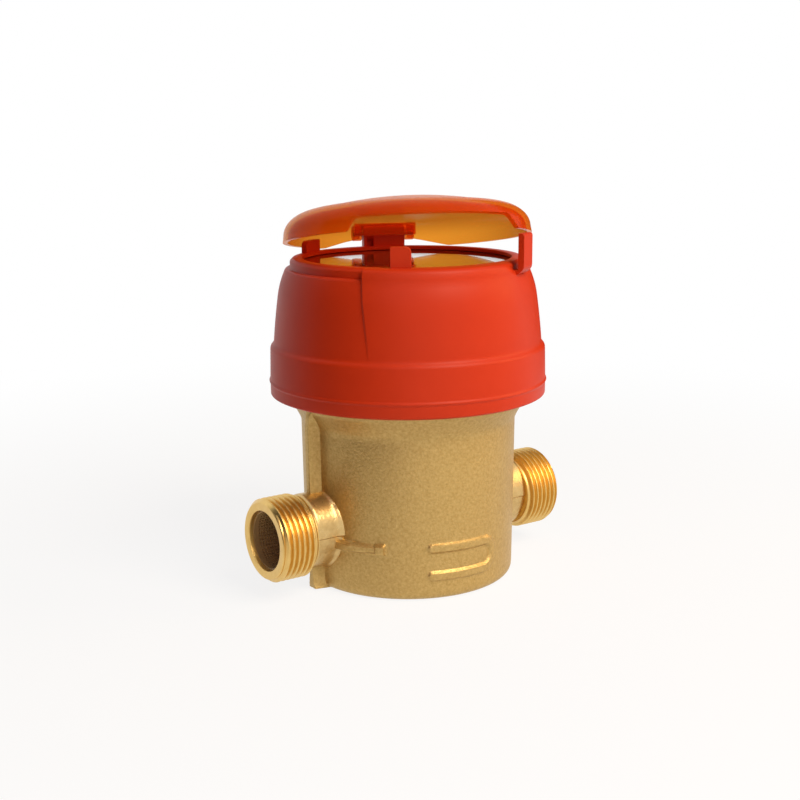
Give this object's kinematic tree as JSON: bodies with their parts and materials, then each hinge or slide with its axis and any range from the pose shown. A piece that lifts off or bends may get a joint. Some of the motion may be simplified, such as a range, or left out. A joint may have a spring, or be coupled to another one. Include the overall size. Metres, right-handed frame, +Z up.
{
  "type": "water meter",
  "caption": "Inline water meter: cast brass body with threaded side ports, rotary piston chamber, pointer register, red shroud and hinged translucent lid.",
  "frame": {"origin": "centre of the flat base of the brass body, on the can's axis", "axes": "+Z up along the can's axis, +X along the flow from the inlet port to the outlet port"},
  "size_m": [0.11, 0.0894, 0.1237],
  "materials": {
    "cast_brass": "sand cast",
    "turned_brass": "turned",
    "strainer_plastic": "moulded",
    "seal_rubber": "matte",
    "chamber_plastic": "moulded",
    "steel": "drawn",
    "piston_plastic": "moulded",
    "magnet": "sintered",
    "plate_plastic": "moulded",
    "copper_cup": "deep drawn",
    "frame_plastic": "moulded",
    "gear_plastic": "moulded",
    "dial_white": "printed",
    "pointer_red": "moulded",
    "pointer_black": "moulded",
    "window_glass": "clear",
    "shroud_red": "moulded, satin",
    "lid_orange": "translucent moulded"
  },
  "bodies": {
    "meter": {"body": "cast_brass", "inlet_strainer": "strainer_plastic", "chamber_seal": "seal_rubber", "measuring_chamber": "chamber_plastic", "partition_plate": "steel", "chamber_lid": "chamber_plastic", "pressure_plate": "plate_plastic", "plate_seal": "seal_rubber", "clamp_ring": "turned_brass"},
    "carrier": {"magnet_carrier": "piston_plastic", "drive_magnet": "magnet"},
    "piston": {"rotary_piston": "piston_plastic"},
    "head": {"register_cup": "copper_cup", "low_plate": "frame_plastic", "bridge_plate": "frame_plastic", "frame_pillars": "steel", "top_plate": "frame_plastic", "dial_plate": "dial_white", "window_gasket": "seal_rubber", "window": "window_glass", "shroud": "shroud_red", "hinge_pin": "steel"},
    "spindle": {"follower_spindle": "piston_plastic", "follower_magnet": "magnet"},
    "lid": {"lid": "lid_orange"},
    "dial_1": {"dial_arbor_1": "gear_plastic", "pointer_1": "pointer_red"},
    "dial_2": {"dial_arbor_2": "gear_plastic", "pointer_2": "pointer_red"},
    "dial_3": {"dial_arbor_3": "gear_plastic", "pointer_3": "pointer_red"},
    "dial_4": {"dial_arbor_4": "gear_plastic", "pointer_4": "pointer_black"},
    "dial_5": {"dial_arbor_5": "gear_plastic", "pointer_5": "pointer_black"}
  },
  "joints": [
    {"name": "head_turn", "type": "hinge", "parent": "meter", "child": "head", "pos_m": [0, 0, 0.069], "axis": [0, 0, 1], "range_deg": [-175, 175]},
    {"name": "lid_hinge", "type": "hinge", "parent": "head", "child": "lid", "pos_m": [0.01436, 0.03432, 0.1078], "axis": [-0.9225, 0.3859, 0], "range_deg": [-8, 95]},
    {"name": "carrier_spin", "type": "hinge", "parent": "meter", "child": "carrier", "pos_m": [0, 0, 0.056], "axis": [0, 0, 1], "continuous": true},
    {"name": "piston_orbit", "type": "hinge", "parent": "carrier", "child": "piston", "pos_m": [0.004, 0, 0.056], "axis": [0, 0, 1], "continuous": true},
    {"name": "spindle_spin", "type": "hinge", "parent": "head", "child": "spindle", "pos_m": [0, 0, 0.075], "axis": [0, 0, 1], "continuous": true},
    {"name": "dial_1_spin", "type": "hinge", "parent": "head", "child": "dial_1", "pos_m": [0, 0.01497, 0.085], "axis": [0, 0, 1], "continuous": true},
    {"name": "dial_2_spin", "type": "hinge", "parent": "head", "child": "dial_2", "pos_m": [-0.01424, 0.00463, 0.085], "axis": [0, 0, 1], "continuous": true},
    {"name": "dial_3_spin", "type": "hinge", "parent": "head", "child": "dial_3", "pos_m": [-0.0088, -0.01211, 0.085], "axis": [0, 0, 1], "continuous": true},
    {"name": "dial_4_spin", "type": "hinge", "parent": "head", "child": "dial_4", "pos_m": [0.0088, -0.01211, 0.085], "axis": [0, 0, 1], "continuous": true},
    {"name": "dial_5_spin", "type": "hinge", "parent": "head", "child": "dial_5", "pos_m": [0.01424, 0.00463, 0.085], "axis": [0, 0, 1], "continuous": true}
  ],
  "couplings": [
    {"joint": "piston_orbit", "follows": "carrier_spin", "ratio": -1},
    {"joint": "spindle_spin", "follows": "carrier_spin", "ratio": 1},
    {"joint": "dial_1_spin", "follows": "carrier_spin", "ratio": -0.2},
    {"joint": "dial_2_spin", "follows": "carrier_spin", "ratio": 0.02},
    {"joint": "dial_3_spin", "follows": "carrier_spin", "ratio": -0.002},
    {"joint": "dial_4_spin", "follows": "carrier_spin", "ratio": 0.0002},
    {"joint": "dial_5_spin", "follows": "carrier_spin", "ratio": -0.00002}
  ]
}
